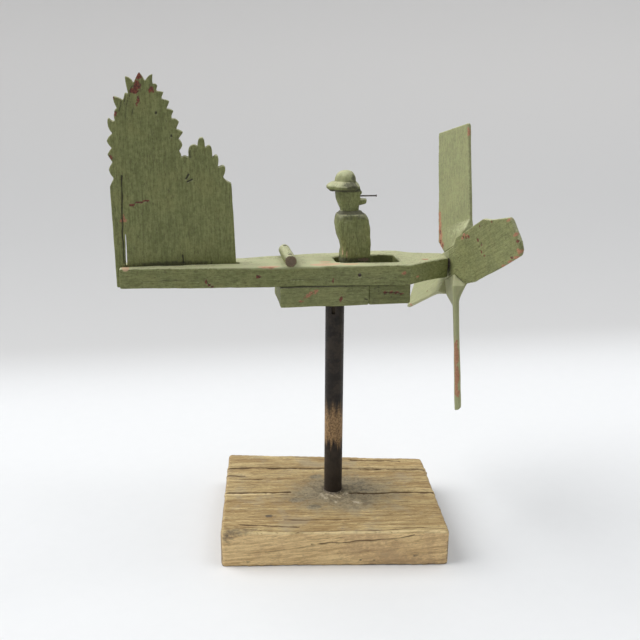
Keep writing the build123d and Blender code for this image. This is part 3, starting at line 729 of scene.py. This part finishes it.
def deck():
    """The fuselage plank: its tail end drawn out to the fin's lap, with dents, scrapes and a worn rim."""
    obj = from_cad("deck_plank", "deck_board", 1.0 * MM, 2)
    co = coords(obj.data)
    co[:, 0] -= 0.9 * MM * smoothstep(cad_low[0] + 6 * MM, cad_low[0] + 2 * MM, co[:, 0])
    set_coords(obj.data, co)
    weather(obj, ALONG_X, 51, wobble=0.7 * MM, relief=0.16 * MM, chips=1.3 * MM)

    def side(x, z):
        return on_near_side(obj, x, z)

    def top(x, y):
        return on_top(obj, x, y)

    def rim(*points):
        return [(x * MM, y * MM, DECK_TOP) for x, y in points]

    gouge(obj, [
        ([top(-12.6, 1.3), top(-3.8, 0.2)], 0.8, 0.9),
        ([side(-143, 310), side(-141, 306), side(-136, 302.5)], 0.9, 0.9),
        ([side(-89, 315), side(-86, 312.5)], 1.2, 0.8),
        ([side(-210, 309), side(-178, 311), side(-150, 309.5)], 0.7, 0.6),
        ([side(-70, 308), side(-38, 310), side(-14, 308.5)], 0.7, 0.6),
        ([side(20, 311), side(52, 309), side(80, 311)], 0.7, 0.6),
        ([top(-205, 4), top(-160, 2), top(-120, 5)], 0.7, 0.5),
        (rim((14, -18.5), (5, -18), (-0.5, -13), (-0.5, 12), (6, 20), (50, 22.5)), 1.0, 0.7),
        (rim((58, -23), (62, -24), (70, -17), (70, 8)), 0.9, 0.6),
        ([top(-20, -4), top(-11, -5.5), top(-3, -5)], 0.9, 0.7),
    ])
    co = coords(obj.data)
    # Lighter mottled patches over the deck's top, partly sun-fading and partly painted light.
    sunned_and_lit = mask(co, ((-0.035, -0.02, DECK_TOP), 105, 34, 2.5))
    sunned_and_lit *= smoothstep(-0.75, 0.35, noise(co, 0.012, 53))
    finish_wood(
        obj, ALONG_X,
        pale_and_lit=np.maximum(0.05 * mask(co, ((0.035, -0.03, DECK_TOP - 0.0111), 75, 12, 18)), 0.96 * sunned_and_lit),
        chip=mask(
            co, (side(-142.6, 308.5), 1.5, 4, 3), (side(-140, 305), 2, 4, 1.6), (side(-137, 303), 2, 4, 1.3),
            (side(-88, 313), 3.5, 4, 2), (side(-7.5, 306.7), 1.2, 4, 3.6),
        ),
        salmon=mask(
            co, ((-0.076, -0.0285, DECK_TOP), 11, 3, 1.8), (top(99, -13.4), 5, 3, 2.5),
            (side(68.6, 315), 2.5, 3, 2), (top(-231, -21), 4, 2.5, 2), (side(86, 309), 3, 3, 1.6),
        ),
        blush=1.3 * mask(
            co, ((-0.014, -0.024, DECK_TOP), 21, 7, 2.5), (top(-13.5, -11.6), 8, 4, 4),
            (top(-226, -13), 5, 10, 4), ((-0.076, -0.026, DECK_TOP), 15, 5, 2.5),
            ((0.012, -0.026, DECK_TOP), 12, 4, 2.5),
        ),
    )
    dress(obj, sage, "fuselage", "sage_paint", "deck_plank")


UNDER_BLOCKS = (("pivot_block", "rear_under_block", 61), ("front_block", "front_under_block", 67))


def under_blocks():
    """The two lengths of under-block, with scrapes down to pink primer and red chips along a gouge."""
    for node, name, seed in UNDER_BLOCKS:
        obj = from_cad(node, name, 1.0 * MM, 2)
        weather(obj, ALONG_X, seed, wobble=0.55 * MM, relief=0.13 * MM, chips=1.2 * MM)
        block_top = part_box(node)[1].z
        rear = node == "pivot_block"

        def side(x, z):
            return on_near_side(obj, x, z)

        if rear:
            scrapes = [
                ([side(-25.8, 297), side(-35, 291.4), side(-43.7, 285)], 1.0, 0.5),
                ([side(-6, 293), side(14, 295)], 0.7, 0.6),
                ([side(28, 285.6), side(30.5, 284.8)], 1.3, 0.9),
            ]
        else:
            scrapes = [([side(49.8, 292.3), side(61, 292), side(70, 290)], 1.0, 0.7)]
        gouge(obj, scrapes)
        co = coords(obj.data)
        if rear:
            chips = mask(co, (side(0.8, 287), 2.4, 3, 3.6))
            pink = mask(
                co, (side(-26, 296.4), 4, 3, 2), (side(-30, 294.4), 4.6, 3, 2.2),
                (side(-34, 291.9), 4.6, 3, 2.2), (side(-38, 289.3), 4.6, 3, 2.2),
                (side(-42.5, 286.2), 4, 3, 2),
            )
        else:
            chips = mask(
                co, (side(51, 292.3), 3.5, 3, 1.6), (side(57, 292.2), 3.5, 3, 1.5),
                (side(63, 291.6), 3.5, 3, 1.5), (side(69, 290.2), 3, 3, 1.6),
            )
            pink = mask(co, (side(56, 293.5), 3, 3, 1))
        # Painted shade: each block's top 3 mm under the deck's edge is darkened, and the whole front block a
        # little, for the shade under the deck's overhang.
        block_shade = np.maximum(smoothstep(block_top - 3 * MM, block_top, co[:, 2]), 0.0 if rear else 0.42)
        finish_wood(obj, ALONG_X, pale_and_lit=0.045 if rear else 0.0, chip=chips, salmon=0.62 * pink, dirt=block_shade)
        dress(obj, sage, "fuselage", "sage_paint", node)


def fin():
    """The tree-shaped fin: splits along its grain, carved cuts near its top and red chips on its leaves."""
    obj = from_cad("tail_fin", "fin_board", 0.78 * MM, 1)
    weather(obj, ALONG_Z, 71, wobble=0.45 * MM, relief=0.20 * MM, chips=0.7 * MM)
    rear, foot = FIN_REAR / MM, DECK_TOP / MM

    def at(x, z):
        return on_near_side(obj, rear + x, foot + z)

    def line(*points):
        return [at(x, z) for x, z in points]

    gouge(obj, [
        (line((29, 184), (26, 179), (25, 173)), 0.6, 0.8),
        (line((17.4, 170), (16, 164), (14.3, 159.4)), 0.6, 0.7),
        (line((23.4, 172), (22, 164), (19.8, 152.6)), 0.6, 0.7),
        (line((27.7, 162), (26.5, 157)), 0.8, 0.8),
        (line((21, 174), (19.8, 168)), 0.8, 0.8),
        (line((13.4, 95), (12, 81), (10.4, 58), (9.9, 34), (9.9, 18), (9.5, 3)), 0.9, 1.6),
        (line((19.4, 64.5), (28.7, 67.6), (38.4, 69.5)), 0.7, 0.5),
        (line((83, 119.6), (82.7, 112.5)), 0.9, 0.9),
        (line((80.5, 95.7), (77.7, 91.1)), 1.1, 1.2),
        (line((78.6, 88), (83.8, 90)), 1.0, 1.0),
        (line((70.7, 11), (71.4, 2.3)), 0.7, 1.0),
        (line((50.6, 157.9), (50.6, 157)), 1.3, 1.0),
        (line((65, 135.7), (65, 134.7)), 1.3, 1.0),
        (line((45, 150), (46, 120), (44, 92)), 0.6, 0.45),
        (line((58, 120), (59, 84), (57, 52)), 0.6, 0.45),
        (line((33, 128), (32, 96)), 0.6, 0.45),
    ], 0.6 * MM)
    co = coords(obj.data)
    finish_wood(
        obj, ALONG_Z,
        chip=mask(
            co, (at(34.6, 194), 4.4, 14, 7), (at(33, 184), 4.2, 14, 7), (at(29.5, 178.5), 4.5, 14, 3),
            (at(33.8, 170.5), 1.8, 6, 4.5), (at(32, 166), 1.6, 6, 3), (at(47.8, 178.7), 4.2, 8, 4.6),
            (at(8, 173.5), 3.6, 8, 3.6), (at(10.2, 156.5), 2.2, 6, 3), (at(3, 113.7), 2, 6, 3),
            (at(21, 65), 3.4, 3, 1.3), (at(28.7, 67.6), 4.5, 3, 1.3), (at(36, 69), 3.6, 3, 1.2),
        ),
        salmon=mask(co, (at(11.6, 49), 4.5, 4, 2.2), (at(11.8, 52), 1.3, 4, 5)),
        # Painted shade along the fin's foot where it meets the deck; smaller darkened patches round three of
        # its cuts.
        dirt=np.maximum(
            0.85 * mask(co, (at(60, 0.5), 62, 6, 6)),
            0.45 * mask(co, (at(23, 165), 9, 5, 13), (at(82, 116), 4, 4, 6), (at(70, 8), 10, 5, 10)),
        ),
    )
    dress(obj, sage, "fuselage", "sage_paint", "tail_fin")


def dowel():
    """The short dowel across the deck, its near end bare and ragged."""
    grain = Grain((0, 1, 0), (0, 0, 1))
    obj = from_cad("cross_dowel", "deck_dowel", 0.6 * MM, 2)
    weather(obj, grain, 81, wobble=0.4 * MM, relief=0.12 * MM, chips=0.9 * MM)
    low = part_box("cross_dowel")[0]
    co = coords(obj.data)
    ragged = low.y + 1.4 * MM + 1.2 * MM * noise(co, 0.003, 83)
    finish_wood(obj, grain, bare=0.85 * smoothstep(ragged + 0.8 * MM, ragged - 0.8 * MM, co[:, 1]))
    dress(obj, sage, "fuselage", "sage_paint", "cross_dowel")


NECK = DECK_TOP + 52.6 * MM
SHOULDERS = DECK_TOP + 49.0 * MM
HAT_SHADE = DECK_TOP + 76.8 * MM


def pilot():
    """The whittled pilot: knife facets, a lobed hat brim, a neck crease with painted shade and a splintered
    foot.
    """
    obj = from_cad("pilot_figure", "whittled_pilot", 0.55 * MM, 2)
    lumps = coords(obj.data)
    knife = noise(lumps, 0.0085, 95) * 0.9 * MM + noise(lumps, 0.0042, 96) * 0.35 * MM
    knife *= smoothstep(DECK_TOP + 2 * MM, DECK_TOP + 8 * MM, lumps[:, 2])
    rise = lumps[:, 2] - DECK_TOP
    brim = smoothstep(0.0745, 0.077, rise) * smoothstep(0.087, 0.084, rise)
    knife += brim * noise(lumps, (0.0075, 0.0075, 0.02), 97) * 1.5 * MM
    crease = np.exp(-((lumps[:, 2] - NECK) / (1.4 * MM)) ** 2)
    set_coords(obj.data, lumps + normals(obj.data) * (knife - 1.1 * MM * crease)[:, None])
    weather(obj, ALONG_Z, 91, wobble=0.4 * MM, relief=0.18 * MM, chips=0.6 * MM, swell=0.05 * MM)
    foot = DECK_TOP / MM

    def at(x, z):
        return on_near_side(obj, x, foot + z)

    gouge(obj, [
        ([at(6, 2), at(7.5, 20)], 0.7, 0.7),
        ([at(10, 1), at(11, 15)], 0.6, 0.6),
        ([at(20, 44), at(22, 22), at(21, 9)], 0.7, 0.5),
        ([at(33, 40), at(35, 14)], 0.7, 0.5),
        ([at(17, 62), at(16, 76)], 0.6, 0.4),
    ])
    co = coords(obj.data)
    finish_wood(
        obj, ALONG_Z,
        # Painted light, partly real sun-fading: the hat crown's top is lighter.
        pale_and_lit=0.35 * smoothstep(DECK_TOP + 0.084, DECK_TOP + 0.088, co[:, 2]),
        bare=0.8 * mask(co, (at(30, 2), 8, 5, 3)),
        blush=0.7 * mask(co, (at(6.5, 11), 1.2, 4, 10), (at(10.5, 8), 1.0, 4, 8)),
        # Painted shade: bands at the neck crease and under the hat brim, the foot at the deck, the brim's
        # near part and the crown's lower right, the mouth nail's root, and a weaker band at the shoulders.
        dirt=np.maximum(
            1.5 * mask(co, ((0.017, 0, NECK), 90, 90, 1.9), ((0.013, 0, HAT_SHADE), 90, 90, 1.9)),
            np.maximum(
                0.85 * mask(
                    co, ((0.022, 0, DECK_TOP), 90, 90, 6), ((0.015, -0.013, DECK_TOP + 0.0825), 14, 11, 7.5),
                    ((0.020, -0.008, DECK_TOP + 0.0890), 7, 9, 7), ((0.0285, 0, DECK_TOP + 0.0696), 4, 8, 3),
                ),
                0.6 * mask(co, ((0.017, 0, SHOULDERS), 90, 90, 5.5)),
            ),
        ),
    )
    dress(obj, sage, "pilot", "sage_paint", "pilot_figure")


# Each blade's paleness: partly real sun-fading and partly painted light, set blade by blade to how much light
# its face gets.
BLADE_PALE_AND_LIT = (0.24, 0.06, 0.45, 0.40)


def blade_axes(index):
    """A blade's own axes as columns: through its thickness, across it, and out along it."""
    tilt = Vector((1, 0, 0)).rotation_difference(Vector(AXLE)).to_matrix()
    spin = Matrix.Rotation(math.radians(BLADE_START + 90 * index), 3, "X")
    pitch = Matrix.Rotation(math.radians(BLADE_PITCH), 3, "Z")
    return np.array(tilt @ spin @ pitch) @ np.diag((1, -1, 1))


# For each blade, counted from the upper one towards the near one: spots as (out, across, half size out, half
# size across), and cuts as a run of (out, across) points, a half width and a depth. All are in mm, and places
# are from the hub's middle.
BLADE_MARKS = {
    0: dict(
        salmon=[
            (60, -26, 9, 2.6), (46, -26, 10, 3.4), (32, -24, 9, 4), (24, -20, 6, 4), (147, 29, 7, 2.4),
        ],
        chip=[(42, -26, 4, 1.6), (30, -24.5, 3, 2), (37, 18, 1.6, 1.6), (24, -20, 3, 2)],
        cuts=[([(53, 7), (46, 7.5)], 0.7, 0.6)],
    ),
    1: dict(
        chip=[
            (62, -17, 3, 2.2), (55, -18.5, 2.6, 1.8), (49, -20.5, 2.4, 1.6), (81, -9, 2.6, 2.2),
            (86, -3, 2.4, 2), (80, 4, 2, 2), (84, 9, 1.6, 1.6), (163, 12.6, 2.5, 1.8), (141.5, 24, 3, 1.8),
            (97, -20, 2, 1.6), (126, -17, 1.8, 1.5),
        ],
        salmon=[
            (52, -22, 4, 2.0), (59, -19.5, 3.5, 1.8), (45, -20, 3, 1.8), (160, 22, 5, 3.4),
            (150, 26, 6, 2.4), (136, 27, 7, 2.2), (118, 27.5, 6, 2), (165, 6, 6, 2), (162, -9, 8, 1.8),
        ],
        cuts=[
            ([(98, -14), (122, -19), (150, -22)], 0.6, 0.4), ([(104, 0), (132, -2), (158, -3)], 0.6, 0.4),
            ([(100, 9), (124, 13), (150, 16)], 0.6, 0.4), ([(78, -2), (87, -5)], 0.9, 0.7),
        ],
    ),
    2: dict(
        salmon=[(106, -27, 20, 2.6), (130, -27, 16, 2.6), (146, -26, 8, 2.4)],
        cuts=[([(50, 2), (100, 4), (140, 3)], 0.6, 0.4)],
    ),
    3: dict(
        salmon=[(149, -27.6, 5, 3.2)], chip=[(120, 25, 3, 2), (84, -20, 2, 1.6)],
        cuts=[
            ([(52, -3), (96, -7), (148, -10)], 0.6, 0.4), ([(54, 5), (100, 10), (146, 14)], 0.6, 0.4),
        ],
    ),
}
PROPELLER_BARS = (
    ("propeller_bar_front", "upright_blades", (0, 2), 101),
    ("propeller_bar_rear", "level_blades", (1, 3), 109),
)


def propeller():
    """Four carved blades on two bars, each with the marks listed for it."""
    for node, name, blades, seed in PROPELLER_BARS:
        grain = Grain(blade_axes(blades[0])[:, 2], AXLE, HUB)
        obj = from_cad(node, name, 0.85 * MM, 2)
        weather(obj, grain, seed, wobble=0.4 * MM, relief=0.16 * MM, chips=0.9 * MM, swell=0.05 * MM)
        paths = []
        for index in blades:
            axes = blade_axes(index)
            for path, width, depth in BLADE_MARKS[index]["cuts"]:
                points = [
                    tuple(HUB + axes @ np.array((BLADE_REAR_FACE, across, out)) * MM) for out, across in path
                ]
                paths.append((points, width, depth))
        gouge(obj, paths, 0.7 * MM)
        co = coords(obj.data)
        areas = {kind: np.zeros(len(co)) for kind in ("chip", "salmon", "dirt")}
        for index in blades:
            local = (co - HUB) @ blade_axes(index)
            for kind in areas:
                spots = [
                    ((BLADE_REAR_FACE * MM, c * MM, r * MM), 4, across, out)
                    for r, c, out, across in BLADE_MARKS[index].get(kind, ())
                ]
                areas[kind] = np.maximum(areas[kind], mask(local, *spots))
        pale_and_lit = np.zeros(len(co))
        for index in blades:
            out = ((co - HUB) @ blade_axes(index))[:, 2]
            pale_and_lit = np.where(out > 0, BLADE_PALE_AND_LIT[index], pale_and_lit)
        finish_wood(obj, grain, pale_and_lit=pale_and_lit, **areas)
        dress(obj, sage, "propeller", "sage_paint", node)


# ---------------------------------------------------------------- studio
# The camera stands where the photograph was taken from. Angles are in degrees.
CAMERA_AT = (-0.1509, -0.8560, 0.5096)
CAMERA_HEADING = 8.9
CAMERA_DOWN = 16.4
CAMERA_ROLL = -0.3
CAMERA_LENS = 45.0


def camera():
    data = bpy.data.cameras.new("camera")
    data.lens = CAMERA_LENS
    obj = bpy.data.objects.new("camera", data)
    bpy.context.scene.collection.objects.link(obj)
    turn = Matrix.Rotation(math.radians(-CAMERA_HEADING), 4, "Z")
    tilt = Matrix.Rotation(math.radians(90 - CAMERA_DOWN), 4, "X")
    roll = Matrix.Rotation(math.radians(-CAMERA_ROLL), 4, "Z")
    obj.matrix_world = Matrix.Translation(CAMERA_AT) @ turn @ tilt @ roll
    bpy.context.scene.camera = obj


def area_light(name, place, target, size, power, colour=(1, 1, 1)):
    data = bpy.data.lights.new(name, "AREA")
    data.shape = "DISK"
    data.size = size
    data.energy = power
    data.color = colour
    obj = bpy.data.objects.new(name, data)
    bpy.context.scene.collection.objects.link(obj)
    obj.location = place
    obj.rotation_euler = (Vector(target) - Vector(place)).to_track_quat("-Z", "Y").to_euler()


def sweep():
    """Pale paper floor that curves up into a low backdrop behind the object, duller towards its top: painted
    shade, greyest a little above the floor and a little lighter higher up.
    """
    front, bend, radius, height, half = -5.0, 0.34, 0.9, 1.1, 4.0
    profile = [(front, 0.0), (-1.0, 0.0), (bend, 0.0)]
    turn = np.radians(np.arange(5, 91, 5))
    profile += [(bend + radius * math.sin(a), radius - radius * math.cos(a)) for a in turn]
    profile.append((bend + radius, height))
    mesh = bpy.data.meshes.new("paper")
    verts = [(x, y, z) for y, z in profile for x in (-half, half)]
    faces = [(2 * i, 2 * i + 1, 2 * i + 3, 2 * i + 2) for i in range(len(profile) - 1)]
    mesh.from_pydata(verts, [], faces)
    mesh.polygons.foreach_set("use_smooth", [True] * len(faces))
    paper = new_object("paper_sweep", mesh)
    m = Nodes("paper")
    tooth = m.noise(m.object_place(), 60.0, 3.0)
    rise = m.component(m.object_place(), 2)
    floor = m.mix(tooth, (0.82, 0.83, 0.84), (0.84, 0.85, 0.86))
    # Painted shade: the paper greys as it rises off the floor, then lightens a little higher up.
    shaded_wall = m.mix(m.step(rise, 0.0, 0.045), floor, (0.63, 0.63, 0.63))
    colour = m.mix(m.step(rise, 0.18, 0.62), shaded_wall, (0.74, 0.73, 0.72))
    mesh.materials.append(m.done(colour, 0.95, m.bump(tooth, 0.05 * MM, 0.2)))


def lights():
    """Low even light from all round, a large soft window behind on the left and a small lamp overhead."""
    world = bpy.data.worlds.new("studio")
    bpy.context.scene.world = world
    world.use_nodes = True
    world.node_tree.nodes["Background"].inputs[0].default_value = (0.95, 0.97, 1.0, 1)
    world.node_tree.nodes["Background"].inputs[1].default_value = 0.24
    area_light("window", (-5.0, 1.3, 6.0), (0, 0, 0.2), 7.5, 600)
    area_light("overhead", (1.5, -0.2, 3.0), (0.2, 0, 0), 2.4, 38)


# ---------------------------------------------------------------- put together
for node, material in CAD_MATERIALS.items():
    data = frame["nodes"][node]
    for slot_index in range(len(data.material_slots)):
        data.material_slots[slot_index].material = material
base()
foot_ring()
deck()
under_blocks()
fin()
dowel()
pilot()
propeller()
sweep()
lights()
camera()
bpy.context.scene.view_settings.view_transform = "Standard"
